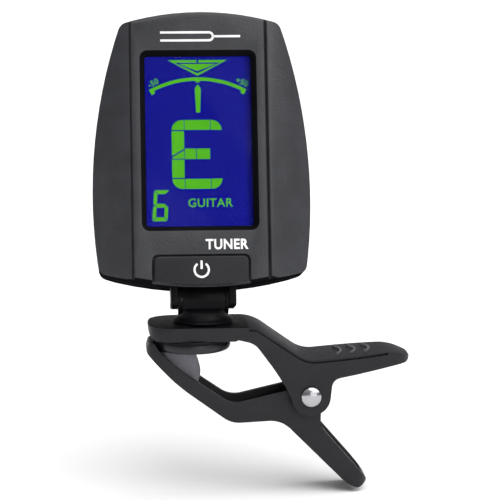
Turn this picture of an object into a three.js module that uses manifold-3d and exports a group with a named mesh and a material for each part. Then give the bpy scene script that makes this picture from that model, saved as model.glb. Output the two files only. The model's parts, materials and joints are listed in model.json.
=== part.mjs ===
// Clip-on instrument tuner: a display head on a tilting, swivelling foot, held by a sprung clip.
// Millimetres, +Z up. The origin is the centre of the upper pad's gripping face. +X runs along
// the clip towards the finger tabs, and the display faces -Y, leaning back a little.
import * as THREE from "three";
import { mergeVertices } from "three/addons/utils/BufferGeometryUtils.js";
import Module from "manifold-3d";

const wasm = await Module();
wasm.setup();

// ---- driving dimensions ------------------------------------------------------------------

// Clearances
const FIT = 0.15;            // between pieces that are fixed to each other
const RUNNING_GAP = 0.3;     // between pieces that move
const BEYOND = 30;           // how far a cutter reaches past the piece it cuts

// Clip: both jaws are channels, and the lower one nests inside the upper one
const JAW_HALF_WIDTH = 5.9;  // at the arm and tab
const PLATE_HALF_WIDTH = 6.7; // at the plate over the pad
const CHEEK = 1.2;
const JAW_TOP = 4.95;
const JAW_UNDERSIDE = 2.4;
const JAW_CEILING = 3.6;
const LOWER_HALF_WIDTH = JAW_HALF_WIDTH - CHEEK - RUNNING_GAP;
const PIVOT = { x: 21.6, z: -8.4 };
const UPPER_BOSS = 3.65;
const LOWER_BOSS = 3.3;
const RIVET_RADIUS = 1.2;
const RIVET_HEAD = 1.93;
const PIVOT_HOLE = 1.45;
const RIDGE_HEIGHT = 0.4;
const SIDE_GROOVE = { top: 0.12, bottom: 0.45, depth: 0.45, start: 10 };

// Pads
const PAD_RADIUS = 7;
const PAD_TOP = 1.75;
const PLATE_RADIUS = 7.35;

// Spring
const WIRE = 0.9;
const COIL_RADIUS = 2.2;
const COIL_TURNS = 4;
const COIL_HALF_LENGTH = 2.4;

// Foot: turntable, stem and hinge knuckle
const SWIVEL_X = 1.9;
const STEM_RADIUS = 2;
const KNUCKLE_RADIUS = 3;
const HINGE_Z = 9.3;
const PIN_RADIUS = 1;
const EAR_INNER = 4.75;
const EAR_OUTER = 6.05;
const FLANK = 3.35;          // half depth of the knuckle where it meets the dome
const BARREL_HALF = 3.9;     // half width of the knuckle's barrel
const WASHER = { radius: 2.9, thickness: 0.6 };

// Head, in its own frame: x across, y the depth (front negative), z up from the hinge pin
const LEAN = THREE.MathUtils.degToRad(16);
const FRONT = -7;
const REAR = 5.5;
const FRONT_WALL = 1.5;
const REAR_WALL = 2;
const RIM = 1.6;             // thickness of the housing's side walls
const EDGE = 0.8;            // bevel around the front and rear edges
const SEAM = 0.3;            // gap between the two shells
const PANEL_HALF = 12.5;     // flat middle panel, between the two long grooves
const V_GROOVE = { offset: 0.35, half: 0.35, depth: 0.5 };
const SLOT = { front: -3.3, rear: 3.7, top: 4 };
const WINDOW = { half: 9.75, low: 12.9, high: 44.4, bevel: 1.25 };
const BUTTON = { half: 8.9, high: 7.15, gap: 0.35, travel: 0.4, z: 6.2 };
const CELL = { radius: 10, thickness: 3.2, y: 1.6, z: 32 };
const DOOR = { half: 11.9, low: 19, draft: 0.7, thickness: 0.9 };
const SCREWS = [[-14.4, 9.5], [14.4, 9.5], [-14.2, 44.5], [14.2, 44.5]];
const BOARD_SCREWS = [[-9, 6.8], [9, 6.8]];
const BOARD = { half: 12.2, low: 4.9, high: 46.9, front: -1.4, rear: -0.6 };

// Smoothness
const ROUND = 24;            // facets around a small round
const CURVE = 5;             // segments in each rounded corner

// ---- materials ---------------------------------------------------------------------------

function material(color, roughness, metalness) {
  return new THREE.MeshStandardMaterial({ color, roughness, metalness });
}

const charcoal = material(0x3b3b3e, 0.5, 0);
const black = material(0x1d1d20, 0.45, 0);
const rubber = material(0x4c4e52, 0.75, 0);
const chrome = material(0xd5d5d8, 0.18, 1);
const steel = material(0xa9a9ac, 0.35, 1);
const brass = material(0xc9a85a, 0.35, 1);
const clear = material(0x1b1b66, 0.08, 0);
const glass = material(0x1c1c8c, 0.12, 0);
const milky = material(0xe8e8e4, 0.4, 0);
const ceramic = material(0xe4ddcb, 0.6, 0);
const circuitGreen = material(0x1f5a36, 0.5, 0);
const redWire = material(0xa82424, 0.5, 0);

// ---- solids ------------------------------------------------------------------------------

/** A solid made from a closed three.js geometry. */
function solid(geometry) {
  geometry.deleteAttribute("normal");
  geometry.deleteAttribute("uv");
  const merged = mergeVertices(geometry);
  const corners = [];
  for (let i = 0; i < merged.index.count; i += 3) {
    const [a, b, c] = [0, 1, 2].map((k) => merged.index.getX(i + k));
    if (a !== b && b !== c && c !== a) corners.push(a, b, c);
  }
  const vertProperties = new Float32Array(merged.attributes.position.array);
  const triVerts = new Uint32Array(corners);
  return new wasm.Manifold(new wasm.Mesh({ numProp: 3, vertProperties, triVerts }));
}

/** A named mesh that shows a solid. */
function piece(name, body, look) {
  const { vertProperties, triVerts } = body.getMesh();
  const geometry = new THREE.BufferGeometry();
  geometry.setAttribute("position", new THREE.BufferAttribute(vertProperties, 3));
  geometry.setIndex(new THREE.BufferAttribute(triVerts, 1));
  geometry.computeVertexNormals();
  const mesh = new THREE.Mesh(geometry, look);
  mesh.name = name;
  return mesh;
}

/** A closed outline through [a, b, cut] corners, each rounded from cut before it to cut after it. */
function outline(corners) {
  const shape = new THREE.Shape();
  corners.forEach(([a, b, cut = 0], i) => {
    const corner = new THREE.Vector2(a, b);
    const before = new THREE.Vector2(...corners.at(i - 1).slice(0, 2)).sub(corner);
    const after = new THREE.Vector2(...corners[(i + 1) % corners.length].slice(0, 2)).sub(corner);
    const reach = Math.min(cut, 0.45 * before.length(), 0.45 * after.length());
    const start = before.setLength(reach).add(corner);
    const end = after.setLength(reach).add(corner);
    if (i === 0) shape.moveTo(start.x, start.y);
    else shape.lineTo(start.x, start.y);
    if (reach > 0) shape.quadraticCurveTo(corner.x, corner.y, end.x, end.y);
  });
  shape.closePath();
  return shape;
}

/** Corners of a rectangle, each rounded by the same cut. */
function rectangle(a0, b0, a1, b1, cut = 0) {
  return outline([[a0, b0, cut], [a1, b0, cut], [a1, b1, cut], [a0, b1, cut]]);
}

function circle(a, b, radius) {
  const shape = new THREE.Shape();
  shape.absarc(a, b, radius, 0, 2 * Math.PI);
  return shape;
}

function extruded(shape, length, options = {}) {
  const settings = { depth: length, bevelEnabled: false, curveSegments: CURVE, ...options };
  return new THREE.ExtrudeGeometry(shape, settings);
}

/** An outline drawn in x and z, as thick as y0 to y1. */
function alongY(shape, y0, y1, options) {
  return solid(extruded(shape, y1 - y0, options).rotateX(Math.PI / 2).translate(0, y1, 0));
}

/** An outline drawn in x and y, as tall as z0 to z1. */
function alongZ(shape, z0, z1, options) {
  return solid(extruded(shape, z1 - z0, options).translate(0, 0, z0));
}

/** An outline drawn in y and z, as wide as x0 to x1. */
function alongX(shape, x0, x1) {
  return solid(extruded(shape, x1 - x0).rotateZ(Math.PI / 2).rotateY(Math.PI / 2)
    .translate(x0, 0, 0));
}

function block(x0, x1, y0, y1, z0, z1) {
  const geometry = new THREE.BoxGeometry(x1 - x0, y1 - y0, z1 - z0);
  return solid(geometry.translate((x0 + x1) / 2, (y0 + y1) / 2, (z0 + z1) / 2));
}

function cylinder(radius, length) {
  return new THREE.CylinderGeometry(radius, radius, length, ROUND);
}

/** A round rod along Y, Z or X. */
function rodY(radius, x, z, y0, y1) {
  return solid(cylinder(radius, y1 - y0).translate(x, (y0 + y1) / 2, z));
}

function rodZ(radius, x, y, z0, z1) {
  return solid(cylinder(radius, z1 - z0).rotateX(Math.PI / 2).translate(x, y, (z0 + z1) / 2));
}

function rodX(radius, y, z, x0, x1) {
  const length = Math.abs(x1 - x0);
  return solid(cylinder(radius, length).rotateZ(Math.PI / 2).translate((x0 + x1) / 2, y, z));
}

/** A profile of [radius, height] points, bottom to top, turned about Z. */
function turned(profile) {
  const points = profile.map(([radius, height]) => new THREE.Vector2(radius, height));
  return new THREE.LatheGeometry(points, ROUND).rotateX(Math.PI / 2);
}

/** A round wire along a smooth curve through points. */
function wire(points, radius, steps, sides) {
  const section = new THREE.Shape();
  for (let i = 0; i < sides; i++) {
    const turn = (2 * Math.PI * i) / sides;
    const [a, b] = [radius * Math.cos(turn), radius * Math.sin(turn)];
    if (i === 0) section.moveTo(a, b);
    else section.lineTo(a, b);
  }
  section.closePath();
  const path = new THREE.CatmullRomCurve3(points);
  return solid(extruded(section, 1, { steps, extrudePath: path }));
}

// ---- clip --------------------------------------------------------------------------------

/** Side view of the upper jaw: a flat top, a sloping arm and a long finger tab. */
function upperJawOutline(raise = 0) {
  return outline([
    [-8.5, JAW_TOP + raise, 0.7],
    [11.3, JAW_TOP + raise, 2.4],
    [20.7, -1.6 + raise, 2.2],
    [36.6, -0.25 + raise, 2.5],
    [40.4, -1.5 + raise, 0.4],
    [39.9, -2.6, 0.5],
    [25.6, -5.2, 2],
    [25.25, -8.6],
    [18.05, -9],
    [17.4, -7.4, 1],
    [14.9, -3.3, 2.5],
    [11.1, 1.9, 2.4],
    [8.1, JAW_UNDERSIDE + 0.25, 0.2],
    [7.6, JAW_UNDERSIDE, 0.2],
    [-7.2, JAW_UNDERSIDE, 0.4],
    [-8.2, 3.2, 0.65],
  ]);
}

/** Top view of the upper jaw: a round-ended plate, a narrower arm and a tapering tab. */
function jawPlan(inset) {
  const [start, end] = [-8.5 + inset, 40.4 - inset];
  const [plate, arm] = [PLATE_HALF_WIDTH - inset, JAW_HALF_WIDTH - inset];
  const side = [[start, plate, 6], [10, plate, 3], [18, arm, 3], [end - 10, arm, 5],
    [end, arm - 2.4, 3]];
  const other = side.map(([x, y, cut]) => [x, -y, cut]).reverse();
  return outline([...side, ...other]);
}

/** The hollow under the upper jaw's web, open below. */
function upperJawHollow() {
  const side = outline([
    [-7, -BEYOND],
    [-7, JAW_CEILING],
    [10.8, JAW_CEILING, 1.2],
    [20.4, -3.05, 1.6],
    [36.4, -1.55, 0.6],
    [36.6, -BEYOND],
  ]);
  return alongY(side, -BEYOND, BEYOND).intersect(alongZ(jawPlan(CHEEK), -BEYOND, JAW_TOP));
}

/** Three crescent grip ridges across the finger tab. */
function gripRidges() {
  const raised = alongY(upperJawOutline(RIDGE_HEIGHT), -JAW_HALF_WIDTH, JAW_HALF_WIDTH);
  const crescents = [27.6, 30.2, 32.8].map((x) => {
    const shape = new THREE.Shape();
    shape.absarc(x - 5, 0, 5.3, -0.68, 0.68, false);
    shape.absarc(x - 5.9, 0, 5.7, 0.6, -0.6, true);
    shape.closePath();
    return alongZ(shape, -2, JAW_TOP);
  });
  return crescents.map((crescent) => crescent.intersect(raised));
}

/** A thin groove just under the top edge, along both sides of the arm and tab. */
function sideGroove() {
  const { top, bottom, depth, start } = SIDE_GROOVE;
  return alongY(upperJawOutline(-top), -BEYOND, BEYOND)
    .subtract(alongY(upperJawOutline(-bottom), -BEYOND, BEYOND))
    .subtract(alongZ(jawPlan(depth), -BEYOND, BEYOND))
    .intersect(block(start, 2 * BEYOND, -BEYOND, BEYOND, -BEYOND, JAW_TOP - top));
}

function upperJaw() {
  const blank = alongY(upperJawOutline(), -BEYOND, BEYOND);
  const boss = rodY(UPPER_BOSS, PIVOT.x, PIVOT.z, -BEYOND, BEYOND);
  let jaw = blank.add(boss).intersect(alongZ(jawPlan(0), -BEYOND, BEYOND))
    .subtract(upperJawHollow()).subtract(sideGroove());
  for (const ridge of gripRidges()) jaw = jaw.add(ridge);
  jaw = jaw.subtract(rodY(PIVOT_HOLE, PIVOT.x, PIVOT.z, -BEYOND, BEYOND));
  jaw = jaw.subtract(rodZ(STEM_RADIUS + RUNNING_GAP, SWIVEL_X, 0, JAW_CEILING - 1, BEYOND));
  return piece("upper_jaw", jaw, charcoal);
}

/** Round plate that closes the jaw's underside and carries the pad, with two pegs. */
function padPlate() {
  let plate = solid(turned([[0, PAD_TOP + 0.05], [PLATE_RADIUS - 0.25, PAD_TOP + 0.05],
    [PLATE_RADIUS, PAD_TOP + 0.25], [PLATE_RADIUS, JAW_UNDERSIDE - 0.05],
    [0, JAW_UNDERSIDE - 0.05]]));
  for (const y of [-2.6, 2.6]) {
    plate = plate.add(rodZ(0.8, -4.6, y, JAW_UNDERSIDE - 0.3, JAW_CEILING - 0.2));
  }
  return piece("pad_plate", plate, charcoal);
}

function upperPad() {
  const profile = [[0, 0], [PAD_RADIUS - 0.7, 0], [PAD_RADIUS - 0.2, 0.2], [PAD_RADIUS, 0.7],
    [PAD_RADIUS, PAD_TOP], [0, PAD_TOP]];
  return piece("upper_pad", solid(turned(profile)), rubber);
}

/** Side view of the lower jaw: an upturned tip, a belly and a straight finger handle. */
function lowerJawOutline() {
  return outline([
    [-7.25, 1.75, 0.5],
    [-8.3, 1.6, 0.7],
    [-8.9, -0.1, 0.9],
    [-3, -6.3, 3],
    [6.9, -13.55, 1.8],
    [16.2, -13.1, 2.4],
    [28.4, -25.4, 1.6],
    [30.7, -26.6, 0.9],
    [32.6, -25.2, 0.8],
    [30.3, -22.3, 1.6],
    [23.5, -14.4, 1.6],
    [23.6, -11.2, 0.8],
    [20, -7.1],
    [7.1, -10.1, 2.2],
    [-3.2, -3, 2.5],
    [-6.5, 0.3, 0.7],
  ]);
}

/** The hollow between the lower jaw's cheeks, open towards the upper jaw. */
function lowerJawHollow() {
  const side = outline([
    [-7.3, 6],
    [-7.3, 0.15, 0.4],
    [-2.1, -5.25, 1.5],
    [7.1, -12, 1.2],
    [17.1, -12, 1.2],
    [30, -25.1, 0.3],
    [45, -10],
    [45, 6],
  ]);
  const reach = LOWER_HALF_WIDTH - CHEEK;
  return alongY(side, -reach, reach);
}

function lowerJaw() {
  const blank = alongY(lowerJawOutline(), -LOWER_HALF_WIDTH, LOWER_HALF_WIDTH);
  const boss = rodY(LOWER_BOSS, PIVOT.x, PIVOT.z, -LOWER_HALF_WIDTH, LOWER_HALF_WIDTH);
  const plan = rectangle(-8.9, -LOWER_HALF_WIDTH, 32.6, LOWER_HALF_WIDTH, 3.6);
  const jaw = blank.add(boss).intersect(alongZ(plan, -BEYOND, BEYOND))
    .subtract(lowerJawHollow())
    .subtract(rodY(PIVOT_HOLE, PIVOT.x, PIVOT.z, -BEYOND, BEYOND));
  return piece("lower_jaw", jaw, charcoal);
}

/** Soft block in the lower jaw's tip: a flat top under the upper pad and a round inner end. */
function lowerPad() {
  const reach = LOWER_HALF_WIDTH - CHEEK - 0.3;
  const side = outline([
    [-6.3, -0.2],
    [0.1, -0.2, 1.9],
    [1.5, -3.7, 1.6],
    [0.6, -6.6, 0.5],
    [-0.2, -6.35],
    [-1.95, -5.1, 1.2],
    [-6.3, -0.58],
  ]);
  const plan = rectangle(-6.3, -reach, 1.5, reach, 1.6);
  const pad = alongY(side, -reach, reach).intersect(alongZ(plan, -BEYOND, BEYOND));
  return piece("lower_pad", pad, rubber);
}

/** Domed rivet through both jaws, set flat at the rear. */
function pivotRivet() {
  const face = JAW_HALF_WIDTH + 0.1;
  const dome = 1;
  const steps = 6;
  const profile = [[0, -face - 0.6], [1.75, -face - 0.6], [1.75, -face],
    [RIVET_RADIUS, -face], [RIVET_RADIUS, face], [RIVET_HEAD, face]];
  for (let i = 1; i <= steps; i++) {
    const turn = (Math.PI / 2) * (i / steps);
    profile.push([RIVET_HEAD * Math.cos(turn), face + dome * Math.sin(turn)]);
  }
  const rivet = turned(profile).rotateX(Math.PI / 2).translate(PIVOT.x, 0, PIVOT.z);
  return piece("pivot_rivet", solid(rivet), chrome);
}

/** Torsion spring around the rivet, one leg under each finger tab. */
function torsionSpring() {
  const leaveTop = THREE.MathUtils.degToRad(108.4);
  const leaveBottom = THREE.MathUtils.degToRad(213 + 360 * COIL_TURNS);
  const points = [new THREE.Vector3(33, -COIL_HALF_LENGTH, -2.3),
    new THREE.Vector3(26, -COIL_HALF_LENGTH, -4.6)];
  const perTurn = 12;
  const count = perTurn * COIL_TURNS + 3;
  for (let i = 0; i <= count; i++) {
    const part = i / count;
    const turn = leaveTop + (leaveBottom - leaveTop) * part;
    points.push(new THREE.Vector3(PIVOT.x + COIL_RADIUS * Math.cos(turn),
      COIL_HALF_LENGTH * (2 * part - 1), PIVOT.z + COIL_RADIUS * Math.sin(turn)));
  }
  points.push(new THREE.Vector3(23, COIL_HALF_LENGTH, -14.6));
  points.push(new THREE.Vector3(27, COIL_HALF_LENGTH, -20.7));
  const steps = perTurn * (COIL_TURNS + 2);
  return piece("torsion_spring", wire(points, WIRE / 2, steps, 8), steel);
}

// ---- foot --------------------------------------------------------------------------------

/** Turntable with a grooved stem below and the hinge knuckle above. */
function swivelBase() {
  const gap = RUNNING_GAP;
  const profile = [
    [0, 2.55], [1.9, 2.55], [1.9, 2.85], [1.4, 2.85], [1.4, 3.5], [STEM_RADIUS, 3.5],
    [STEM_RADIUS, JAW_TOP + gap], [5.6, JAW_TOP + gap], [5.6, 5.55], [5.15, 5.75],
    [4.8, 6], [4.62, 6.25], [4.55, 7], [4.35, 8], [4.05, 9.2], [3.75, 10.4], [3.3, 11.4],
    [2.6, 12.1], [0, 12.4],
  ];
  const pockets = [-1, 1].map((end) => rodX(WASHER.radius + FIT, 0, HINGE_Z, end * BARREL_HALF,
    end * 2 * BARREL_HALF));
  let dome = solid(turned(profile));
  for (const pocket of pockets) dome = dome.subtract(pocket);
  dome = dome.add(rodX(KNUCKLE_RADIUS, 0, HINGE_Z, -BARREL_HALF, BARREL_HALF));
  const side = new THREE.Shape();
  side.moveTo(-BEYOND, 0);
  side.lineTo(BEYOND, 0);
  side.lineTo(6, 5.6);
  side.quadraticCurveTo(4, 6.1, FLANK, HINGE_Z - 1.6);
  side.lineTo(KNUCKLE_RADIUS, HINGE_Z);
  side.absarc(0, HINGE_Z, KNUCKLE_RADIUS, 0, Math.PI);
  side.lineTo(-FLANK, HINGE_Z - 1.6);
  side.quadraticCurveTo(-4, 6.1, -6, 5.6);
  side.closePath();
  const envelope = alongX(side, -BEYOND, BEYOND);
  const bore = rodX(PIN_RADIUS + FIT, 0, HINGE_Z, -BEYOND, BEYOND);
  return piece("swivel_base", dome.intersect(envelope).subtract(bore), charcoal);
}

/** Friction washers between the knuckle and the fork's ears. */
function frictionWashers() {
  return [-1, 1].map((end, i) => {
    const [inner, outer] = [end * (BARREL_HALF + FIT), end * (BARREL_HALF + FIT + WASHER.thickness)];
    const disc = rodX(WASHER.radius, 0, 0, inner, outer);
    const bore = rodX(PIN_RADIUS + FIT, 0, 0, -BEYOND, BEYOND);
    return piece(`friction_washer_${i + 1}`, disc.subtract(bore), black);
  });
}

/** Open spring clip in the stem's groove, under the jaw's web. */
function retainingClip() {
  const ring = circle(0, 0, 3.4);
  ring.holes.push(circle(0, 0, 1.6));
  const clip = alongZ(ring, 2.98, 3.36, { curveSegments: ROUND / 2 })
    .subtract(block(-1.2, 1.2, 0, BEYOND, 0, BEYOND));
  return piece("retaining_clip", clip, steel);
}

function hingePin() {
  return piece("hinge_pin", rodX(PIN_RADIUS, 0, 0, -EAR_OUTER, EAR_OUTER), steel);
}

/** Fork that holds the pin: two ears, and a flanged bridge gripped inside the housing. */
function hingeFork() {
  const side = outline([[-2.9, -1.85, 1.5], [2.9, -1.85, 1.5], [2.9, 5], [-0.3, 5], [-0.3, 3.3],
    [-2.9, 3.3, 0.4]]);
  const front = outline([[-EAR_OUTER, -1.85, 0.6], [-EAR_INNER, -1.85], [-EAR_INNER, 4],
    [EAR_INNER, 4], [EAR_INNER, -1.85], [EAR_OUTER, -1.85, 0.6], [EAR_OUTER, 4], [8, 4],
    [8, 5], [-8, 5], [-8, 4], [-EAR_OUTER, 4]]);
  const fork = alongX(side, -BEYOND, BEYOND).intersect(alongY(front, -BEYOND, BEYOND))
    .subtract(rodX(PIN_RADIUS + FIT, 0, 0, -BEYOND, BEYOND));
  return piece("hinge_fork", fork, black);
}

// ---- housing -----------------------------------------------------------------------------

/** Front view of the housing: long bowed sides, a crowned top and a shallow curved bottom. */
function headOutline(inset) {
  const sideAt = (z) => Math.sqrt((94 - inset) ** 2 - (z - 19) ** 2) - 73.8;
  const topAt = (x) => 2.75 + Math.sqrt((50 - inset) ** 2 - x ** 2);
  const bottomAt = (x) => 68.6 - Math.sqrt((67 - inset) ** 2 - x ** 2);
  let [topX, bottomX] = [14, 19];
  for (let i = 0; i < 12; i++) {
    topX = sideAt(topAt(topX));
    bottomX = sideAt(bottomAt(bottomX));
  }
  const [topZ, bottomZ] = [topAt(topX), bottomAt(bottomX)];
  const along = (count, make) => Array.from({ length: count }, (_, i) => make((i + 1) / (count + 1)));
  const mix = THREE.MathUtils.lerp;
  return outline([
    [-bottomX, bottomZ, 1.3],
    ...along(7, (t) => [mix(-bottomX, bottomX, t), bottomAt(mix(-bottomX, bottomX, t))]),
    [bottomX, bottomZ, 1.3],
    ...along(8, (t) => [sideAt(mix(bottomZ, topZ, t)), mix(bottomZ, topZ, t)]),
    [topX, topZ, 1.6],
    ...along(7, (t) => [mix(topX, -topX, t), topAt(mix(topX, -topX, t))]),
    [-topX, topZ, 1.6],
    ...along(8, (t) => [-sideAt(mix(topZ, bottomZ, t)), mix(topZ, bottomZ, t)]),
  ]);
}

/** Plan view of the housing: a flat front panel and rear, with cheeks that slope to the sides. */
function headSection(frontInset, rearInset) {
  const edge = 20.2;
  return outline([
    [-edge - 4, -2.5 + frontInset], [-edge, -2.6 + frontInset], [-16.9, -5.1 + frontInset, 2.6],
    [-PANEL_HALF - 0.4, FRONT + frontInset], [PANEL_HALF + 0.4, FRONT + frontInset],
    [16.9, -5.1 + frontInset, 2.6], [edge, -2.6 + frontInset], [edge + 4, -2.5 + frontInset],
    [edge + 4, 2.3 - rearInset], [edge, 2.4 - rearInset], [17, 4.5 - rearInset, 2.2],
    [12, REAR - rearInset, 3], [-12, REAR - rearInset, 3], [-17, 4.5 - rearInset, 2.2],
    [-edge, 2.4 - rearInset], [-edge - 4, 2.3 - rearInset],
  ]);
}

/** The closed outer form of the housing. */
function headForm() {
  const bevel = {
    bevelEnabled: true, bevelThickness: EDGE, bevelSize: EDGE, bevelOffset: -EDGE, bevelSegments: 2,
  };
  const thick = alongY(headOutline(0), FRONT + EDGE, REAR - EDGE, bevel);
  return thick.intersect(alongZ(headSection(0, 0), -BEYOND, 2 * BEYOND));
}

/** The room inside the housing. */
function headRoom() {
  const thick = alongY(headOutline(RIM), -BEYOND, BEYOND);
  return thick.intersect(alongZ(headSection(FRONT_WALL, REAR_WALL), -BEYOND, 2 * BEYOND));
}

/** The two long V grooves beside the middle panel. */
function panelGroove(side) {
  const { offset, half, depth } = V_GROOVE;
  const x = side * (PANEL_HALF + offset);
  const vee = outline([[x - half, FRONT - 1], [x + half, FRONT - 1], [x + half, FRONT],
    [x, FRONT + depth], [x - half, FRONT]]);
  return alongZ(vee, -BEYOND, 2 * BEYOND);
}

/** Slot in the housing's floor that the fork's ears pass through. */
function forkSlot() {
  const reach = EAR_OUTER + FIT;
  return block(-reach, reach, SLOT.front, SLOT.rear, -BEYOND, SLOT.top);
}

function frontShell() {
  const behind = block(-BEYOND, BEYOND, -SEAM / 2, BEYOND, -BEYOND, 2 * BEYOND);
  const form = headForm();
  let shell = form.subtract(headRoom());
  for (const [x, z] of SCREWS) {
    shell = shell.add(rodY(1.8, x, z, FRONT, 0).intersect(form));
  }
  for (const [x, z] of BOARD_SCREWS) {
    shell = shell.add(rodY(1.5, x, z, FRONT + 1, BOARD.front - FIT));
  }
  shell = shell.add(block(-10.4, 10.4, -5.6, -4.4, 2, 8.4).intersect(form));
  const window = rectangle(-WINDOW.half, WINDOW.low, WINDOW.half, WINDOW.high, 1.4);
  const opening = { bevelEnabled: true, bevelThickness: FRONT_WALL + 0.1, bevelSize: WINDOW.bevel,
    bevelSegments: 1 };
  shell = shell.subtract(alongY(window, FRONT - 0.4, FRONT, opening));
  const reach = BUTTON.half + BUTTON.gap;
  const recess = rectangle(-reach, -5, reach, BUTTON.high + BUTTON.gap, 1.2);
  shell = shell.subtract(alongY(recess, FRONT - 1, -5.4));
  shell = shell.subtract(rodY(1.2, 0, BUTTON.z, -6, -4));
  for (const [x, z] of SCREWS) shell = shell.subtract(rodY(1, x, z, -4, BEYOND));
  for (const [x, z] of BOARD_SCREWS) shell = shell.subtract(rodY(0.75, x, z, -4, BEYOND));
  for (const side of [-1, 1]) shell = shell.subtract(panelGroove(side));
  return piece("front_shell", shell.subtract(forkSlot()).subtract(behind), charcoal);
}

/** The dovetail space of the battery door, grown by a gap all round. */
function doorForm(gap) {
  const [inner, outer] = [DOOR.half + gap, DOOR.half - DOOR.draft + gap];
  const face = REAR - DOOR.thickness - gap;
  const section = outline([[-inner, face], [inner, face], [outer, REAR + 0.01], [outer, BEYOND],
    [-outer, BEYOND], [-outer, REAR + 0.01]]);
  return alongZ(section, DOOR.low - gap, 2 * BEYOND);
}

function rearShell() {
  const ahead = block(-BEYOND, BEYOND, -BEYOND, SEAM / 2, -BEYOND, 2 * BEYOND);
  const form = headForm();
  const behind = block(-BEYOND, BEYOND, SEAM / 2, BEYOND, -BEYOND, 2 * BEYOND);
  let shell = form.subtract(headRoom());
  for (const [x, z] of SCREWS) shell = shell.add(rodY(2.1, x, z, 0, REAR).intersect(form));
  shell = shell.intersect(behind);
  const well = CELL.radius + 0.35;
  const ring = rodY(well + 0.85, 0, CELL.z, 0, REAR - REAR_WALL + 0.2)
    .subtract(rodY(well, 0, CELL.z, -1, REAR));
  shell = shell.add(ring).subtract(rodY(well, 0, CELL.z, 0, REAR));
  shell = shell.subtract(block(9.5, 13, -1, REAR - REAR_WALL - 0.3, CELL.z - 2.6, CELL.z + 2.6));
  shell = shell.subtract(doorForm(0.25));
  for (const [x, z] of SCREWS) {
    shell = shell.subtract(rodY(1, x, z, -1, REAR)).subtract(rodY(1.85, x, z, 2.6, 2 * REAR));
  }
  return piece("rear_shell", shell.subtract(forkSlot()).subtract(ahead), charcoal);
}

/** Battery door: a dovetailed panel that forms the upper rear wall and slides up. */
function batteryDoor() {
  const door = doorForm(0).intersect(headForm());
  return piece("battery_door", door, charcoal);
}

/** Power button, filling the notch in the panel's lower edge, with its stem. */
function powerButton() {
  const face = rectangle(-BUTTON.half, -5, BUTTON.half, BUTTON.high, 1.2);
  const proud = { bevelEnabled: true, bevelThickness: 0.25, bevelSize: 0.25, bevelOffset: -0.25,
    bevelSegments: 1 };
  const cap = alongY(face, FRONT, -6.2, proud);
  const below = alongY(headOutline(0.25), -BEYOND, BEYOND);
  const button = cap.intersect(below).add(rodY(0.9, 0, BUTTON.z, -6.3, -4.15));
  return piece("power_button", button, charcoal);
}

function shellScrews() {
  return SCREWS.map(([x, z], i) => {
    const cross = block(x - 1.1, x + 1.1, 3.2, 5, z - 0.25, z + 0.25)
      .add(block(x - 0.25, x + 0.25, 3.2, 5, z - 1.1, z + 1.1));
    const screw = rodY(1.6, x, z, 2.75, 3.8).add(rodY(0.85, x, z, -3.6, 3)).subtract(cross);
    return piece(`shell_screw_${i + 1}`, screw, steel);
  });
}

// ---- display and electronics -------------------------------------------------------------

function display() {
  const frameRing = rectangle(-12, 9, 12, 46.6, 0.8);
  frameRing.holes.push(rectangle(-10.9, 9.8, 10.9, 45.8, 0.4));
  return [
    piece("window_lens", alongY(rectangle(-10.8, 9.9, 10.8, 45.7, 0.6), -5.35, -4.65), clear),
    piece("lcd_glass", alongY(rectangle(-10.7, 10, 10.7, 45.6, 0.2), -4.5, -3.1), glass),
    piece("light_guide", alongY(rectangle(-10.2, 12.4, 10.2, 43.6, 0.2), -2.9, -1.75), milky),
    piece("lcd_frame", alongY(frameRing, -5.3, -1.65), black),
    piece("contact_strip", block(-8.5, 8.5, -2.95, -1.6, 10.2, 11.9), rubber),
    piece("backlight_led_1", block(-6, -4, -2.9, -1.55, 43.9, 45.3), milky),
    piece("backlight_led_2", block(4, 6, -2.9, -1.55, 43.9, 45.3), milky),
  ];
}

function circuitBoard() {
  const plan = rectangle(-BOARD.half, BOARD.low, BOARD.half, BOARD.high, 0.8);
  let board = alongY(plan, BOARD.front, BOARD.rear);
  for (const [x, z] of BOARD_SCREWS) board = board.subtract(rodY(1, x, z, -3, 1));
  return piece("circuit_board", board, circuitGreen);
}

function boardScrews() {
  return BOARD_SCREWS.map(([x, z], i) => {
    const slot = block(x - 1.5, x + 1.5, 0.05, 1, z - 0.2, z + 0.2);
    const screw = rodY(1.4, x, z, -0.5, 0.3).add(rodY(0.6, x, z, -3.7, -0.4)).subtract(slot);
    return piece(`board_screw_${i + 1}`, screw, steel);
  });
}

function tactSwitch() {
  const body = block(-1.6, 1.6, -3.3, -1.5, 4.95, 7.45).subtract(rodY(0.95, 0, BUTTON.z, -4, -2.3));
  const plunger = rodY(0.65, 0, BUTTON.z, -4, -2.9);
  return [piece("tact_switch", body, black), piece("switch_plunger", plunger, milky)];
}

/** Chip under a round drop of resin, and the timing crystal in its can. */
function boardParts() {
  const drop = turned([[0, 0], [4, 0], [3.7, 0.5], [2.8, 0.9], [1.5, 1.15], [0, 1.2]]);
  drop.rotateX(-Math.PI / 2).translate(0, -0.5, 12.5);
  return [
    piece("resin_chip", solid(drop), black),
    piece("crystal_can", rodZ(0.95, 9, 0.5, 9.5, 15.5), steel),
  ];
}

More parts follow.
